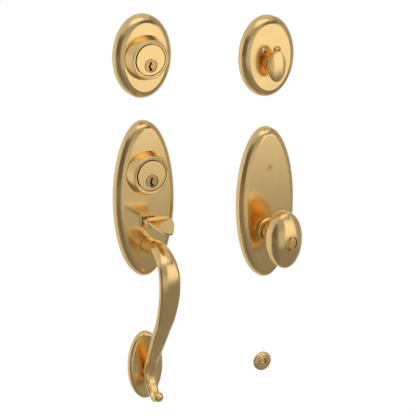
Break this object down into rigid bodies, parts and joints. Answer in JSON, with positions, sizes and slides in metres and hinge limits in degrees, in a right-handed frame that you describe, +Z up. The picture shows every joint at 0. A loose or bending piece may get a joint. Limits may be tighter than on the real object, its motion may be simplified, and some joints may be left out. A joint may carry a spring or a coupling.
{
  "type": "entry door handleset",
  "caption": "Satin brass entry door handleset laid out on one plane: keyed deadbolt, thumb lever and S grip outdoors, thumb turn and egg knob indoors.",
  "frame": {"origin": "centre of the long outdoor plate's back, on the cast cross rib that meets the door", "axes": "+Y into the door, normal to its face; +Z up along the plates; +X to the right, towards the indoor column; the pieces stand out towards -Y"},
  "size_m": [0.2223, 0.1361, 0.4423],
  "materials": {
    "satin_brass": "brushed satin brass under clear lacquer",
    "plug_brass": "plain machined brass, a little greener",
    "steel": "zinc plated steel"
  },
  "bodies": {
    "fixed": {"deadbolt_outer_rose": "satin_brass", "deadbolt_outer_collar": "satin_brass", "deadbolt_cylinder_housing": "satin_brass", "handle_outer_plate": "satin_brass", "handle_outer_collar": "satin_brass", "handle_cylinder_housing": "satin_brass", "latch_bezel": "satin_brass", "lever_bracket": "steel", "lever_pivot_pin": "steel", "lever_spring": "steel", "grip": "satin_brass", "grip_foot_rose": "satin_brass", "deadbolt_inner_rose": "satin_brass", "deadbolt_mounting_plate": "steel", "deadbolt_screw_left": "satin_brass", "deadbolt_screw_right": "satin_brass", "deadbolt_turn_bushing": "satin_brass", "handle_inner_plate": "satin_brass", "plate_screw_upper": "satin_brass", "plate_screw_lower": "satin_brass", "knob_collar": "satin_brass", "knob_spring_cassette": "steel", "foot_rosette": "satin_brass", "foot_through_screw": "satin_brass"},
    "deadbolt_plug": {"deadbolt_key_plug": "plug_brass", "deadbolt_plug_cap": "plug_brass"},
    "deadbolt_tail": {"deadbolt_tailpiece": "steel"},
    "deadbolt_turn": {"deadbolt_turn_knob": "satin_brass", "deadbolt_turn_clip": "steel"},
    "handle_plug": {"handle_key_plug": "plug_brass", "handle_plug_cap": "plug_brass"},
    "handle_tail": {"handle_tailpiece": "steel"},
    "lever": {"thumb_lever": "satin_brass"},
    "knob": {"egg_knob": "satin_brass", "knob_shank": "satin_brass", "knob_set_screw": "steel", "knob_spindle": "steel", "knob_retaining_ring": "steel"},
    "button": {"turn_button": "satin_brass", "turn_button_rod": "steel"}
  },
  "joints": [
    {"name": "deadbolt_key_turn", "type": "hinge", "parent": "fixed", "child": "deadbolt_plug", "pos_m": [0, 0, 0.1538], "axis": [0, -1, 0], "range_deg": [-90, 90]},
    {"name": "deadbolt_tail_lost_motion", "type": "hinge", "parent": "deadbolt_plug", "child": "deadbolt_tail", "pos_m": [0, 0, 0.1538], "axis": [0, -1, 0], "range_deg": [0, 90]},
    {"name": "deadbolt_thumb_turn", "type": "hinge", "parent": "fixed", "child": "deadbolt_turn", "pos_m": [0.1515, 0, 0.1376], "axis": [0, -1, 0], "range_deg": [0, 90]},
    {"name": "handle_key_turn", "type": "hinge", "parent": "fixed", "child": "handle_plug", "pos_m": [0, 0, 0.026], "axis": [0, -1, 0], "range_deg": [-90, 90]},
    {"name": "handle_tail_lost_motion", "type": "hinge", "parent": "handle_plug", "child": "handle_tail", "pos_m": [0, 0, 0.026], "axis": [0, -1, 0], "range_deg": [0, 90]},
    {"name": "thumb_press", "type": "hinge", "parent": "fixed", "child": "lever", "pos_m": [0, -0.006, -0.0208], "axis": [1, 0, 0], "range_deg": [0, 12], "stiffness_Nm_per_rad": 0.15, "springref_deg": -14.32},
    {"name": "knob_turn", "type": "hinge", "parent": "fixed", "child": "knob", "pos_m": [0.1515, 0, -0.0568], "axis": [0, -1, 0], "range_deg": [-60, 60], "stiffness_Nm_per_rad": 0.3},
    {"name": "knob_button_turn", "type": "hinge", "parent": "knob", "child": "button", "pos_m": [0.1515, 0, -0.0568], "axis": [0, -1, 0], "range_deg": [0, 90]}
  ]
}
